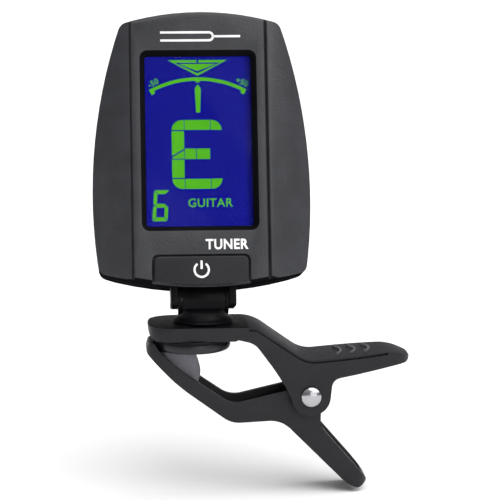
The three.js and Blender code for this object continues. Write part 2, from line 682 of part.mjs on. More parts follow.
/** Coin cell with its two sprung contacts. */
function battery() {
  const { radius, thickness, y, z } = CELL;
  const [front, rear] = [y - thickness / 2, y + thickness / 2];
  const cell = rodY(radius - 0.8, 0, z, front, rear - 0.4).add(rodY(radius, 0, z, front + 0.3, rear));
  const centreLeaf = block(-3, 3, -0.4, -0.2, 24, 40);
  const rimLeaf = block(10.15, 10.4, -0.4, 2.6, z - 2, z + 2)
    .add(block(10.15, 12, -0.4, -0.2, z - 2, z + 2));
  return [
    piece("coin_cell", cell, chrome),
    piece("contact_minus", centreLeaf, brass),
    piece("contact_plus", rimLeaf, brass),
  ];
}

/** Piezo pickup glued inside the rear wall: a ceramic disc on a brass one, with two leads. */
function pickup() {
  const z = 12.7;
  const leads = [["red", -3.9, redWire], ["black", -1.9, black]].map(([colour, x, look]) => {
    const points = [new THREE.Vector3(x, 2.2, z), new THREE.Vector3(x - 2.5, 1.6, z - 1),
      new THREE.Vector3(x - 4.5, 0.6, z + 1), new THREE.Vector3(x - 5, -0.15, z + 3.5)];
    return piece(`pickup_lead_${colour}`, wire(points, 0.3, 14, 8), look);
  });
  return [
    piece("piezo_plate", rodY(6.5, 0, z, 2.95, 3.2), brass),
    piece("piezo_ceramic", rodY(4.5, 0, z, 2.6, 2.8), ceramic),
    ...leads,
  ];
}

// ---- assembly ----------------------------------------------------------------------------

const clip = new THREE.Group();
clip.add(upperJaw(), padPlate(), upperPad(), lowerJaw(), lowerPad(), pivotRivet(), torsionSpring());

const foot = new THREE.Group();
foot.position.set(SWIVEL_X, 0, 0);
foot.add(swivelBase(), retainingClip());

const head = new THREE.Group();
head.position.set(SWIVEL_X, 0, HINGE_Z);
head.rotation.x = -LEAN;
head.add(frontShell(), rearShell(), batteryDoor(), powerButton(), hingeFork(), hingePin());
head.add(...frictionWashers(), ...shellScrews(), ...display(), circuitBoard());
head.add(...boardScrews(), ...tactSwitch());
head.add(...boardParts(), ...battery(), ...pickup());

const tuner = new THREE.Group();
tuner.add(clip, foot, head);

export default tuner;
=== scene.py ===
"""Clip-on tuner: the visual model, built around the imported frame.

Shapes are drawn in millimetres and scaled to metres when a piece is made. The head's pieces are
drawn in the head's own frame (x across, y depth with the front negative, z up from the hinge pin).
"""
import json
import math

import bmesh
import bpy
from mathutils import Matrix, Vector


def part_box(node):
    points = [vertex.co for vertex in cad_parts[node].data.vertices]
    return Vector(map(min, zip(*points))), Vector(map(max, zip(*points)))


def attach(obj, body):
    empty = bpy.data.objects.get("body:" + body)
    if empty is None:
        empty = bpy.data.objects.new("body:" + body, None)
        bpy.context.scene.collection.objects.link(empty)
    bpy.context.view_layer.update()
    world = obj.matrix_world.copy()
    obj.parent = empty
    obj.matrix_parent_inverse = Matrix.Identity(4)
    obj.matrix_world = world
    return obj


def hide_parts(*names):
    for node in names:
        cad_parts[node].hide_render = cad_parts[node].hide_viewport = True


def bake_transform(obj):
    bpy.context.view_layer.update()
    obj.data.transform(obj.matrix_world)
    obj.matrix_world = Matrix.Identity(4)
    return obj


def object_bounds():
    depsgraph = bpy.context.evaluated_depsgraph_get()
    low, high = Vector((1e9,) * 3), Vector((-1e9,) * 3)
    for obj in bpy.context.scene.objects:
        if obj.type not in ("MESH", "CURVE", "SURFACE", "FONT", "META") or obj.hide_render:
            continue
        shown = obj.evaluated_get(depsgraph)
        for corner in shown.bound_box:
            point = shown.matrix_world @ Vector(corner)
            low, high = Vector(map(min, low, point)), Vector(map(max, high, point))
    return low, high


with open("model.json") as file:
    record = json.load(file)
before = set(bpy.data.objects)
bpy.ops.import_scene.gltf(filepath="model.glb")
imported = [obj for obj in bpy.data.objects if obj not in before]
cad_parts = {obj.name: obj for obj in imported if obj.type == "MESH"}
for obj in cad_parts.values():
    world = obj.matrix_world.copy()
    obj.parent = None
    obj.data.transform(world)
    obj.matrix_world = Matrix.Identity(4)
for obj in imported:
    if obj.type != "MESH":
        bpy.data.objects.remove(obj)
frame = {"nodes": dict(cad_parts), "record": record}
cad_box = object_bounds()

MM = 0.001
JOINTS = {joint["name"]: joint for joint in frame["record"]["behaviour"]["joints"]}
HINGE = Vector(JOINTS["tilt"]["pos_m"]) / MM
PIVOT = Vector(JOINTS["jaw_open"]["pos_m"]) / MM
LEAN = Matrix.Rotation(-math.radians(16), 4, "X")
HEAD = Matrix.Translation(HINGE) @ LEAN

# ---- dimensions, in millimetres ----------------------------------------------------------

def half_depth(node):
    low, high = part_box(node)
    return (high[1] - low[1]) / 2 / MM


PLATE_HALF = half_depth("upper_jaw")
JAW_HALF = PLATE_HALF - 0.8
LOWER_HALF = half_depth("lower_jaw")
PAD_RADIUS = half_depth("upper_pad")
PLATE_RADIUS = half_depth("pad_plate")
CHEEK = 1.2
JAW_START = -8.5
JAW_TOP = 4.95
JAW_UNDERSIDE = 2.4
JAW_CEILING = 3.6
PLATE_END = 11.3
DIP_X = 20.7
DIP_Z = -1.6
CREST_X = 36.6
CREST_Z = -0.25
TAB_END = 40.4
STEM_BORE = 2.3
PIVOT_HOLE = 1.45
GROOVE_TOP = 0.3
GROOVE_LOW = 0.68
GROOVE_DEPTH = 0.5
UPPER_BOSS = 3.65
LOWER_BOSS = 3.3
COIL_RADIUS = 2.2
COIL_HALF = 2.4
COIL_TURNS = 4
WIRE_RADIUS = 0.45
KNUCKLE_RADIUS = 3
KNUCKLE_HALF = 3.9
EAR_INNER = 4.75
EAR_OUTER = 6.05
PIN_RADIUS = 1.0
PIN_BORE = PIN_RADIUS + 0.15
FRONT = -7.0
REAR = 5.5
FRONT_WALL = 1.5
REAR_WALL = 2.0
RIM = 1.6
EDGE = 0.8
SEAM = 0.15
PANEL_HALF = 12.2
PANEL_X = -0.5
WINDOW_HALF = 9.75
WINDOW_LOW = 12.9
WINDOW_HIGH = 44.4
WINDOW_BEVEL = 1.05
LENS_FRONT = -5.35
LENS_REAR = -4.65
SCREEN_FRONT = -4.5
SCREEN_REAR = -3.1
BUTTON_HALF = 8.7
BUTTON_HIGH = 7.15
BUTTON_GAP = 0.35
BUTTON_FACE = FRONT - 0.25
BUTTON_REAR = -6.2
BUTTON_STEM = 0.9
BUTTON_STEM_Z = 6.2
POCKET_FRONT = -5.6
POCKET_REAR = -4.4
DOOR_HALF = 11.9
DOOR_LOW = 19.0
DOOR_DRAFT = 0.7
DOOR_THICK = 0.9
CELL_RADIUS = 10.0
CELL_Z = 32.0
SCREWS = [(-14.4, 9.5), (14.4, 9.5), (-14.2, 44.5), (14.2, 44.5)]
SCREW_BORE = 1
SCREW_HEAD = 1.6
SCREW_SHANK = 0.85
SCREW_SEAT = 2.75
BOARD_SCREWS = [(-9, 6.8), (9, 6.8)]
BOARD_BORE = 0.75
BOARD_FRONT = -1.4
BORE_FRONT = -4
FAR = 60.0


# ---- outlines and solids -----------------------------------------------------------------

def rounded(corners, steps=8):
    """Points of a closed outline through (a, b, cut) corners, each rounded over its cut."""
    points = []
    for i, corner in enumerate(corners):
        here = Vector(corner[:2])
        before = Vector(corners[i - 1][:2]) - here
        after = Vector(corners[(i + 1) % len(corners)][:2]) - here
        cut = corner[2] if len(corner) > 2 else 0
        reach = min(cut, 0.45 * before.length, 0.45 * after.length)
        if reach == 0:
            points.append(here)
            continue
        start = here + before.normalized() * reach
        end = here + after.normalized() * reach
        for k in range(steps + 1):
            t = k / steps
            points.append(start * (1 - t) ** 2 + here * 2 * t * (1 - t) + end * t * t)
    return points


def rectangle(a0, b0, a1, b1, cut=0.0):
    return rounded([(a0, b0, cut), (a1, b0, cut), (a1, b1, cut), (a0, b1, cut)])


def on_circle(a, b, radius, turns):
    return [Vector((a + radius * math.cos(t), b + radius * math.sin(t))) for t in turns]


def circle(a, b, radius, steps=64):
    return on_circle(a, b, radius, [2 * math.pi * i / steps for i in range(steps)])


def arc(a, b, radius, start, end, steps):
    """Points along an arc, with its angles in radians from the first axis."""
    turns = [start + (end - start) * k / steps for k in range(steps + 1)]
    return on_circle(a, b, radius, turns)


def quarter(steps):
    """Angles from 0 to a quarter turn, both included."""
    return [math.pi / 2 * k / steps for k in range(steps + 1)]


def grown(points, amount):
    """An outline moved outwards by amount, or inwards if it is negative."""
    area = sum(p.x * q.y - q.x * p.y for p, q in zip(points, points[1:] + points[:1]))
    side = 1 if area > 0 else -1
    moved = []
    for i, here in enumerate(points):
        into = (here - points[i - 1]).normalized()
        out = (points[(i + 1) % len(points)] - here).normalized()
        normals = Vector((into.y, -into.x)) + Vector((out.y, -out.x))
        moved.append(here + normals.normalized() * amount * side)
    return moved


PLACES = {
    "x": lambda a, b, depth: (depth, a, b),
    "y": lambda a, b, depth: (a, depth, b),
    "z": lambda a, b, depth: (a, b, depth),
}


def from_bmesh(name, bm):
    """A new object, scaled to metres, from a bmesh in millimetres."""
    bmesh.ops.remove_doubles(bm, verts=bm.verts, dist=1e-4)
    bmesh.ops.recalc_face_normals(bm, faces=bm.faces)
    mesh = bpy.data.meshes.new(name)
    bm.to_mesh(mesh)
    bm.free()
    mesh.transform(Matrix.Scale(MM, 4))
    obj = bpy.data.objects.new(name, mesh)
    bpy.context.scene.collection.objects.link(obj)
    return obj


def stacked(name, rings, axis):
    """A closed solid through rings of (points, depth) along an axis, capped at both ends."""
    bm = bmesh.new()
    place = PLACES[axis]
    loops = [[bm.verts.new(place(p.x, p.y, depth)) for p in points] for points, depth in rings]
    count = len(loops[0])
    for low, high in zip(loops, loops[1:]):
        for i in range(count):
            j = (i + 1) % count
            bm.faces.new((low[i], low[j], high[j], high[i]))
    bm.faces.new(loops[0])
    bm.faces.new(loops[-1])
    return from_bmesh(name, bm)


def end_rings(points, depth, soft, inward, steps):
    """Rings from one end of a prism inwards, which round its edge by a soft radius."""
    if not soft:
        return [(points, depth)]
    return [(grown(points, -soft * (1 - math.sin(t))), depth + inward * soft * (1 - math.cos(t)))
            for t in quarter(steps)]


def prism(name, points, low, high, axis="y", soft_low=0.0, soft_high=0.0, steps=5):
    """An outline extruded along an axis, with its end edges rounded by soft radii."""
    low_rings = end_rings(points, low, soft_low, 1, steps)
    high_rings = end_rings(points, high, soft_high, -1, steps)
    return stacked(name, low_rings + high_rings[::-1], axis)


def box(name, x0, x1, y0, y1, z0, z1):
    return prism(name, rectangle(x0, z0, x1, z1), y0, y1)


def rod(name, radius, a, b, low, high, axis="y", soft=0.0):
    return prism(name, circle(a, b, radius), low, high, axis, soft, soft)


def turned(name, profile, axis="z", centre=(0, 0, 0), steps=96):
    """A profile of (radius, height) points, from axis to axis, turned about an axis."""
    bm = bmesh.new()
    place = PLACES[axis]
    middle = Vector(centre)
    rings = []
    for radius, height in profile:
        if radius < 1e-6:
            rings.append([bm.verts.new(Vector(place(0, 0, height)) + middle)])
            continue
        rings.append([bm.verts.new(Vector(place(p.x, p.y, height)) + middle)
                      for p in circle(0, 0, radius, steps)])
    for low, high in zip(rings, rings[1:]):
        for i in range(steps):
            j = (i + 1) % steps
            if len(low) == 1:
                bm.faces.new((low[0], high[i], high[j]))
            elif len(high) == 1:
                bm.faces.new((low[i], low[j], high[0]))
            else:
                bm.faces.new((low[i], low[j], high[j], high[i]))
    return from_bmesh(name, bm)


def tube(name, points, radius, sides=16):
    """A round wire through points, with closed ends."""
    bm = bmesh.new()
    rings = []
    side = Vector((0, 1, 0))
    for i, here in enumerate(points):
        ahead = (points[min(i + 1, len(points) - 1)] - points[max(i - 1, 0)]).normalized()
        side = (side - ahead * side.dot(ahead)).normalized()
        across = ahead.cross(side)
        ring = []
        for k in range(sides):
            turn = 2 * math.pi * k / sides
            outwards = side * math.cos(turn) + across * math.sin(turn)
            ring.append(bm.verts.new(here + outwards * radius))
        rings.append(ring)
    for low, high in zip(rings, rings[1:]):
        for k in range(sides):
            m = (k + 1) % sides
            bm.faces.new((low[k], low[m], high[m], high[k]))
    bm.faces.new(rings[0])
    bm.faces.new(rings[-1])
    return from_bmesh(name, bm)


def settled(obj):
    """Applies an object's modifiers to its mesh."""
    graph = bpy.context.evaluated_depsgraph_get()
    mesh = bpy.data.meshes.new_from_object(obj.evaluated_get(graph))
    obj.modifiers.clear()
    old = obj.data
    obj.data = mesh
    bpy.data.meshes.remove(old)
    return obj


def combined(obj, tools, operation):
    """obj joined with, cut by or cut down to each tool in turn; the tools are used up."""
    for tool in tools:
        modifier = obj.modifiers.new("combine", "BOOLEAN")
        modifier.object = tool
        modifier.operation = operation
        modifier.solver = "EXACT"
        settled(obj)
        mesh = tool.data
        bpy.data.objects.remove(tool)
        bpy.data.meshes.remove(mesh)
    return obj


def cut(obj, *tools):
    return combined(obj, tools, "DIFFERENCE")


def join(obj, *tools):
    return combined(obj, tools, "UNION")


def keep(obj, *tools):
    return combined(obj, tools, "INTERSECT")


def cleaned(obj):
    """Merges stray points and flat neighbours, so that a bevel has clean edges to work on."""
    bm = bmesh.new()
    bm.from_mesh(obj.data)
    bmesh.ops.remove_doubles(bm, verts=bm.verts, dist=0.004 * MM)
    bmesh.ops.dissolve_limit(bm, angle_limit=math.radians(0.4), verts=bm.verts, edges=bm.edges)
    bmesh.ops.dissolve_degenerate(bm, edges=bm.edges, dist=0.002 * MM)
    bm.to_mesh(obj.data)
    bm.free()
    return obj


def softened(obj, width, angle=32, segments=3):
    """Rounds every edge sharper than angle by width millimetres."""
    cleaned(obj)
    bevel = obj.modifiers.new("soft_edges", "BEVEL")
    bevel.width = width * MM
    bevel.segments = segments
    bevel.limit_method = "ANGLE"
    bevel.angle_limit = math.radians(angle)
    bevel.miter_outer = "MITER_ARC"
    bevel.use_clamp_overlap = True
    return settled(obj)


def shaded(obj, angle=30):
    """Smooth shading that keeps edges sharper than angle crisp."""
    for polygon in obj.data.polygons:
        polygon.use_smooth = True
    obj.data.set_sharp_from_angle(angle=math.radians(angle))
    return obj


def finished(obj, body, look, nodes=(), in_head=False, angle=30):
    """Gives a piece its look, its place and the body it rides on."""
    if in_head:
        obj.data.transform(Matrix.Translation(HINGE * MM) @ LEAN)
    obj.data.materials.clear()
    obj.data.materials.append(look)
    shaded(obj, angle)
    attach(obj, body)
    if nodes:
        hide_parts(*nodes)
    return obj


# ---- materials ---------------------------------------------------------------------------

def paint_shade_on_faces(obj, look, chosen, in_head=False):
    """Painted shade: gives some faces a darker look, chosen by their centre and how far they face
    up.
    """
    to_frame = HEAD.inverted() if in_head else Matrix.Identity(4)
    obj.data.materials.append(look)
    for face in obj.data.polygons:
        up = (to_frame.to_3x3() @ face.normal).z
        if chosen(*(to_frame @ (face.center / MM)), up):
            face.material_index = 1


def new_material(name, **values):
    material = bpy.data.materials.new(name)
    material.use_nodes = True
    shader = material.node_tree.nodes["Principled BSDF"]
    for socket, value in values.items():
        shader.inputs[socket.replace("_", " ")].default_value = value
    return material, material.node_tree, shader


def noise(tree, scale, detail=3.0, roughness=0.5):
    """A noise texture in object space, scale in features per metre."""
    place = tree.nodes.new("ShaderNodeTexCoord")
    texture = tree.nodes.new("ShaderNodeTexNoise")
    texture.inputs["Scale"].default_value = scale
    texture.inputs["Detail"].default_value = detail
    texture.inputs["Roughness"].default_value = roughness
    tree.links.new(place.outputs["Object"], texture.inputs["Vector"])
    return texture.outputs["Fac"]


def ramp(tree, value, low, high, dark, light):
    """Maps low and below to dark, high and above to light, and what is between to a blend."""
    node = tree.nodes.new("ShaderNodeValToRGB")
    node.color_ramp.elements[0].position = low
    node.color_ramp.elements[0].color = dark
    node.color_ramp.elements[1].position = high
    node.color_ramp.elements[1].color = light
    tree.links.new(value, node.inputs["Fac"])
    return node.outputs["Color"]


def spread(tree, value, low, high):
    """Maps noise to a range of plain values."""
    node = tree.nodes.new("ShaderNodeMapRange")
    node.inputs["From Min"].default_value = 0.3
    node.inputs["From Max"].default_value = 0.7
    node.inputs["To Min"].default_value = low
    node.inputs["To Max"].default_value = high
    tree.links.new(value, node.inputs["Value"])
    return node.outputs["Result"]


def bump(tree, shader, height, distance, strength=1.0):
    node = tree.nodes.new("ShaderNodeBump")
    node.inputs["Distance"].default_value = distance
    node.inputs["Strength"].default_value = strength
    tree.links.new(height, node.inputs["Height"])
    tree.links.new(node.outputs["Normal"], shader.inputs["Normal"])


def grained_plastic(name, tone, shine, grain, depth, sheen=0.35):
    """Moulded plastic: slight patches of tone, fine grain and uneven gloss."""
    material, tree, shader = new_material(name)
    dark = (*[c * 0.88 for c in tone], 1)
    light = (*[c * 1.12 for c in tone], 1)
    patches = ramp(tree, noise(tree, 220, 4), 0.35, 0.65, dark, light)
    tree.links.new(patches, shader.inputs["Base Color"])
    gloss = spread(tree, noise(tree, 900, 3), shine - 0.05, shine + 0.05)
    tree.links.new(gloss, shader.inputs["Roughness"])
    bump(tree, shader, noise(tree, grain, 2), depth)
    shader.inputs["Specular IOR Level"].default_value = sheen
    return material


def metal(name, tone, shine, scale, stretch=(1, 1, 1)):
    """Metal with fine marks, stretched along one axis where it is drawn or turned."""
    material, tree, shader = new_material(name, Metallic=1.0)
    place = tree.nodes.new("ShaderNodeTexCoord")
    mapping = tree.nodes.new("ShaderNodeMapping")
    mapping.inputs["Scale"].default_value = stretch
    texture = tree.nodes.new("ShaderNodeTexNoise")
    texture.inputs["Scale"].default_value = scale
    tree.links.new(place.outputs["Object"], mapping.inputs["Vector"])
    tree.links.new(mapping.outputs["Vector"], texture.inputs["Vector"])
    value = texture.outputs["Fac"]
    dark = (*[c * 0.85 for c in tone], 1)
    tree.links.new(ramp(tree, value, 0.3, 0.7, dark, (*tone, 1)), shader.inputs["Base Color"])
    tree.links.new(spread(tree, value, shine, shine + 0.12), shader.inputs["Roughness"])
    bump(tree, shader, value, 0.00001, 0.4)
    return material


def glowing(name, tone, strength, shine):
    """A backlit surface: its own faintly uneven light, with a painted shadow along the right edge.
    """
    material, tree, shader = new_material(name, Roughness=shine, Emission_Strength=strength)
    shader.inputs["Specular IOR Level"].default_value = 0.0
    dark = (*[c * 0.93 for c in tone], 1)
    uneven = ramp(tree, noise(tree, 150, 2), 0.3, 0.7, dark, (*tone, 1))
    place = tree.nodes.new("ShaderNodeTexCoord")
    axes = tree.nodes.new("ShaderNodeSeparateXYZ")
    tree.links.new(place.outputs["Object"], axes.inputs["Vector"])
    edge = (HINGE.x + PANEL_X + WINDOW_HALF) * MM
    # Painted shadow: the light drops to a quarter over the last 1.3 mm before the window's right
    # edge.
    painted_shadow = tree.nodes.new("ShaderNodeMapRange")
    painted_shadow.inputs["From Min"].default_value = edge - 1.3 * MM
    painted_shadow.inputs["From Max"].default_value = edge
    painted_shadow.inputs["To Min"].default_value = 1
    painted_shadow.inputs["To Max"].default_value = 0.25
    tree.links.new(axes.outputs["X"], painted_shadow.inputs["Value"])
    with_painted_shadow = tree.nodes.new("ShaderNodeVectorMath")
    with_painted_shadow.operation = "SCALE"
    tree.links.new(uneven, with_painted_shadow.inputs[0])
    tree.links.new(painted_shadow.outputs["Result"], with_painted_shadow.inputs["Scale"])
    tree.links.new(with_painted_shadow.outputs["Vector"], shader.inputs["Emission Color"])
    shader.inputs["Base Color"].default_value = (*[c * 0.15 for c in tone], 1)
    return material


def clear_acrylic():
    material, tree, shader = new_material("clear_acrylic", IOR=1.1, Transmission_Weight=1.0)
    shader.inputs["Base Color"].default_value = (0.96, 0.97, 1, 1)
    tree.links.new(spread(tree, noise(tree, 400, 2), 0.0, 0.015), shader.inputs["Roughness"])
    return material


CHARCOAL = grained_plastic("grained_charcoal", (0.025, 0.0255, 0.0295), 0.42, 2800, 0.00006)
CLIP_PLASTIC = grained_plastic("clip_plastic", (0.010, 0.010, 0.0122), 0.46, 2800, 0.00004, 0.26)
BLACK = grained_plastic("smooth_black", (0.004, 0.0036, 0.0046), 0.42, 4200, 0.000008, 0.09)
# Painted shade: a black with no gloss, so the faces it covers stay dark instead of showing the
# floor's light.
PAINTED_SHADE_BLACK = grained_plastic("painted_shade_black", (0.006, 0.006, 0.007), 0.7, 4200, 0.00001, 0)
# Painted highlight: a tone much lighter than the clip's, so the grip ridges show as bright
# crescents.
RIDGE_HIGHLIGHT = grained_plastic("ridge_painted_highlight", (0.075, 0.076, 0.08), 0.28, 5200, 0.00001, 0.5)
DARK_RUBBER = grained_plastic("dark_rubber", (0.008, 0.008, 0.01), 0.36, 3000, 0.00001, 0.4)
PALE_RUBBER = grained_plastic("pale_rubber", (0.135, 0.135, 0.155), 0.45, 3000, 0.00001)
WHITE_PRINT = grained_plastic("white_print", (0.80, 0.80, 0.80), 0.5, 6000, 0.000003)
MILKY = grained_plastic("milky_plastic", (0.70, 0.70, 0.66), 0.35, 2500, 0.000004)
BOARD = grained_plastic("circuit_board", (0.015, 0.11, 0.045), 0.3, 1800, 0.00001)
CERAMIC = grained_plastic("silvered_ceramic", (0.62, 0.6, 0.54), 0.45, 2600, 0.00001)
RED_WIRE = grained_plastic("red_insulation", (0.42, 0.012, 0.012), 0.35, 2500, 0.000006)
BLACK_WIRE = grained_plastic("black_insulation", (0.012, 0.012, 0.012), 0.35, 2500, 0.000006)
CHROME = metal("bright_nickel", (0.45, 0.45, 0.47), 0.08, 500)
CELL_CAN = metal("rolled_steel_can", (0.62, 0.62, 0.63), 0.2, 2600, (5, 1, 1))
STEEL = metal("plain_steel", (0.5, 0.5, 0.51), 0.25, 1600, (1, 1, 6))
BRASS = metal("rolled_brass", (0.7, 0.52, 0.24), 0.25, 1400, (5, 1, 1))
# Both screen looks carry the painted shadow along the window's right edge.
SCREEN_BLUE = glowing("screen_blue", (0.005, 0.006, 0.23), 1.0, 0.4)
SCREEN_GREEN = glowing("screen_green", (0.08, 0.42, 0.014), 1.0, 0.4)
ACRYLIC = clear_acrylic()

SLOT_LOOKS = {
    "charcoal_plastic": CHARCOAL, "black_plastic": BLACK, "pad_rubber": DARK_RUBBER,
    "chrome": CHROME, "steel": STEEL, "brass": BRASS, "window": ACRYLIC, "lcd": SCREEN_BLUE,
    "milky_plastic": MILKY, "circuit_board": BOARD, "ceramic": CERAMIC,
    "red_insulation": RED_WIRE, "black_insulation": BLACK_WIRE,
}


# ---- clip --------------------------------------------------------------------------------

def upper_jaw_outline():
    """Side view of the upper jaw: its plate, the arm down to the rivet and the finger tab."""
    return rounded([
        (JAW_START, JAW_TOP, 0.7), (PLATE_END, JAW_TOP, 2.4),
        (DIP_X, DIP_Z, 2.2), (CREST_X, CREST_Z, 2.5), (TAB_END, -1.5, 0.4),
        (39.9, -2.6, 0.5), (25.6, -5.2, 2), (25.25, -8.6), (18.05, -9), (17.4, -7.4, 1),
        (14.9, -3.3, 2.5), (11.1, 1.9, 2.4), (8.1, JAW_UNDERSIDE + 0.25, 0.2),
        (7.6, JAW_UNDERSIDE, 0.2), (-7.2, JAW_UNDERSIDE, 0.4), (-8.2, 3.2, 0.65),
    ])


def jaw_plan(inset):
    """Top view of the upper jaw: a round-ended plate, a narrower arm and a tapering tab."""
    start = JAW_START + inset
    end = TAB_END - inset
    plate = PLATE_HALF - inset
    arm = JAW_HALF - inset
    side = [(start, plate, 6), (10, plate, 3), (18, arm, 3), (end - 10, arm, 5),
            (end, arm - 2.4, 3)]
    return rounded(side + [(x, -y, reach) for x, y, reach in reversed(side)], 12)


def side_groove():
    """A thin groove just under the top edge, along both sides of the arm and tab."""
    def edge(lowered):
        return [(10, JAW_TOP - lowered), (PLATE_END, JAW_TOP - lowered, 2.4),
                (DIP_X, DIP_Z - lowered, 2.2), (36, -0.3 - lowered)]
    groove = prism("side_groove", jaw_plan(-2), -3, FAR, "z")
    cut(groove, prism("core", jaw_plan(GROOVE_DEPTH), -FAR, FAR, "z"))
    band_outline = rounded(edge(GROOVE_TOP) + edge(GROOVE_LOW)[::-1])
    return keep(groove, prism("groove_band", band_outline, -FAR, FAR))


def upper_jaw():
    """Channel with the rivet's holes in its cheeks and the turntable's hole in its top."""
    body = prism("upper_jaw_shell", upper_jaw_outline(), -FAR, FAR)
    join(body, rod("boss", UPPER_BOSS, PIVOT.x, PIVOT.z, -FAR, FAR))
    keep(body, prism("plan", jaw_plan(0), -FAR, FAR, "z"))
    side = rounded([(-7, -FAR), (-7, JAW_CEILING), (10.8, JAW_CEILING, 1.2), (20.4, -3.05, 1.6),
                    (36.4, -1.55, 0.6), (36.6, -FAR)])
    hollow = prism("hollow", side, -FAR, FAR)
    keep(hollow, prism("hollow_plan", jaw_plan(CHEEK), -FAR, JAW_TOP, "z"))
    cut(body, hollow, rod("pin_hole", PIVOT_HOLE, PIVOT.x, PIVOT.z, -FAR, FAR),
        rod("stem_hole", STEM_BORE, HINGE.x, 0, JAW_CEILING - 1, FAR, "z"))
    softened(body, 0.32)
    cut(body, side_groove())
    finished(body, "clip_upper", CLIP_PLASTIC, ["upper_jaw"])
    # Painted shade: the plate's top, under the housing, gets the darker black look.
    paint_shade_on_faces(body, BLACK, lambda x, y, z, up: up > 0.8 and x < 12 and z > JAW_TOP - 0.1)


def grip_ridges():
    """Three crescents across the finger tab, each a low rounded rib with pointed ends."""
    slope = (CREST_Z - DIP_Z) / (CREST_X - DIP_X)
    for i, x in enumerate((27.6, 30.2, 32.8)):
        outer = arc(x - 5, 0, 5.3, -0.68, 0.68, 24)
        inner = arc(x - 5.9, 0, 5.7, 0.6, -0.6, 24)
        top = DIP_Z + (x - DIP_X) * slope
        ridge = prism(f"grip_ridge_{i + 1}", outer + inner, top - 0.7, top + 0.36, "z", 0, 0.12, 3)
        # Painted highlight: the ridges get the lighter tone.
        finished(ridge, "clip_upper", RIDGE_HIGHLIGHT)


def pad_plate():
    """Round plate between the upper jaw and its pad."""
    radius = PLATE_RADIUS
    profile = [(0, 1.8), (radius - 0.3, 1.8), (radius - 0.09, 1.86), (radius, 2.02),
               (radius, 2.2), (radius - 0.12, 2.35), (0, 2.35)]
    plate = turned("pad_plate_disc", profile)
    finished(plate, "clip_upper", BLACK, ["pad_plate"])


def upper_pad():
    """Round rubber pad with a soft lower edge."""
    radius = PAD_RADIUS
    soft = 0.8
    profile = [(0, 0), (radius - soft, 0)]
    profile += [(radius - soft + soft * math.sin(t), soft - soft * math.cos(t))
                for t in quarter(8)[1:]]
    profile += [(radius, 1.5), (radius - 0.1, 1.72), (0, 1.75)]
    disc = turned("upper_pad_disc", profile)
    finished(disc, "clip_upper", DARK_RUBBER, ["upper_pad"])


def lower_pad():
    """Rubber block in the lower jaw's tip, facing the upper pad."""
    reach = LOWER_HALF - CHEEK - 0.3
    side = rounded([(-6.3, -0.2), (0.1, -0.2, 1.9), (1.5, -3.7, 1.6), (0.6, -6.6, 0.5),
                    (-0.2, -6.35), (-1.95, -5.1, 1.2), (-6.3, -0.58)], 12)
    pad = prism("lower_pad_block", side, -reach, reach)
    keep(pad, prism("pad_plan", rectangle(-6.3, -reach, 1.5, reach, 1.6), -FAR, FAR, "z"))
    softened(pad, 0.3)
    finished(pad, "clip_lower", PALE_RUBBER, ["lower_pad"])


def lower_jaw():
    """Channel with an upturned tip, a belly and a straight finger handle."""
    outline = rounded([
        (-7.25, 1.75, 0.5), (-8.3, 1.6, 0.7), (-8.9, -0.1, 0.9), (-3, -6.3, 3),
        (6.9, -13.55, 1.8), (16.2, -13.1, 2.4), (28.4, -25.4, 1.6), (30.7, -26.6, 0.9),
        (32.6, -25.2, 0.8), (30.3, -22.3, 1.6), (23.5, -14.4, 1.6), (23.6, -11.2, 0.8),
        (20, -7.1), (7.1, -10.1, 2.2), (-3.2, -3, 2.5), (-6.5, 0.3, 0.7)])
    body = prism("lower_jaw_shell", outline, -LOWER_HALF, LOWER_HALF)
    join(body, rod("boss", LOWER_BOSS, PIVOT.x, PIVOT.z, -LOWER_HALF, LOWER_HALF))
    plan = rectangle(-8.9, -LOWER_HALF, 32.6, LOWER_HALF, 3.6)
    keep(body, prism("plan", plan, -FAR, FAR, "z"))
    side = rounded([(-7.3, 6), (-7.3, 0.15, 0.4), (-2.1, -5.25, 1.5), (7.1, -12, 1.2),
                    (17.1, -12, 1.2), (30, -25.1, 0.3), (45, -10), (45, 6)])
    reach = LOWER_HALF - CHEEK
    cut(body, prism("hollow", side, -reach, reach),
        rod("pin_hole", PIVOT_HOLE, PIVOT.x, PIVOT.z, -FAR, FAR))
    softened(body, 0.3)
    finished(body, "clip_lower", CLIP_PLASTIC, ["lower_jaw"])


def pivot_rivet():
    """Rivet with a domed head at the front and a rolled end at the back."""
    face = JAW_HALF + 0.1
    profile = [(0, -face - 1)]
    profile += [(1.93 * math.sin(t), -face - 0.12 - 0.88 * math.cos(t))
                for t in quarter(12)[1:]]
    profile += [(1.9, -face), (1.2, -face), (1.2, face), (1.75, face), (1.75, face + 0.3),
                (1.55, face + 0.5), (1.2, face + 0.6), (0.5, face + 0.5), (0, face + 0.45)]
    rivet = turned("rivet", profile, "y", (PIVOT.x, 0, PIVOT.z))
    finished(rivet, "clip_upper", CHROME, ["pivot_rivet"])


def torsion_spring():
    """Coil around the rivet; one leg follows the upper jaw and the other the lower."""
    half = COIL_HALF
    leave_top = math.radians(108.4)
    leave_bottom = math.radians(213 + 360 * COIL_TURNS)
    steps = 44 * COIL_TURNS
    coil = []
    for i in range(steps + 1):
        part = i / steps
        turn = leave_top + (leave_bottom - leave_top) * part
        coil.append(Vector((PIVOT.x + COIL_RADIUS * math.cos(turn), half * (2 * part - 1),
                            PIVOT.z + COIL_RADIUS * math.sin(turn))))
    first = [Vector((33, -half, -2.3)), Vector((28, -half, -3.95)), Vector((23.5, -half, -5.43))]
    last = [Vector((21.6, half, -12.4)), Vector((24.5, half, -16.9)), Vector((27.2, half, -21))]
    wire = tube("coil_spring", first + coil + last, WIRE_RADIUS)
    wire.data.materials.append(STEEL)
    shaded(wire, 60)
    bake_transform(wire)
    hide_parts("torsion_spring")


# ---- foot --------------------------------------------------------------------------------

